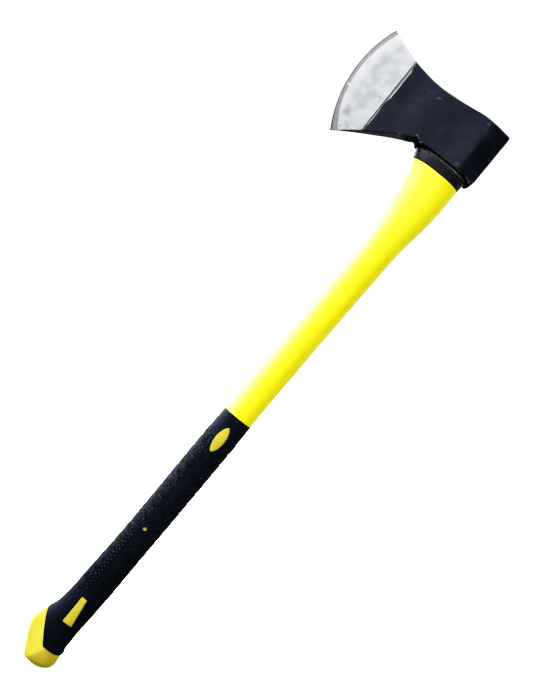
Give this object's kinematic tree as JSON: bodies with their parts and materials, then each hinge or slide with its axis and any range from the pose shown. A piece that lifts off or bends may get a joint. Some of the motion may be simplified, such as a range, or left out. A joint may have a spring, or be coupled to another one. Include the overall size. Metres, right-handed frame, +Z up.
{
  "type": "fire axe",
  "caption": "Long-handled single-bit axe: flared forged head on a moulded fibreglass-cored handle with a soft grip sleeve and a swelled butt.",
  "frame": {"origin": "on the handle's axis, in the flat end of the butt", "axes": "+Z up the handle from the butt to the head; the cutting edge faces -X and the poll faces +X; the two cheeks face -Y and +Y, and the axe is symmetric about the plane Y = 0"},
  "size_m": [0.185, 0.038, 0.805],
  "materials": {
    "head_steel": "forged steel in satin black paint, the bit ground and polished bright with a grey honed edge",
    "collar_plastic": "black moulded plastic",
    "resin": "cast epoxy, pale yellow-green",
    "glass_fibre": "pultruded glass fibre, cut end",
    "yellow_plastic": "bright yellow moulded polypropylene, satin to gloss",
    "grip_rubber": "black soft-touch thermoplastic rubber with moulded scales and studs"
  },
  "bodies": {
    "root": {"axe_head": "head_steel", "head_collar": "collar_plastic", "eye_resin": "resin", "handle_core": "glass_fibre", "handle_jacket": "yellow_plastic", "grip_sleeve": "grip_rubber"}
  },
  "joints": []
}
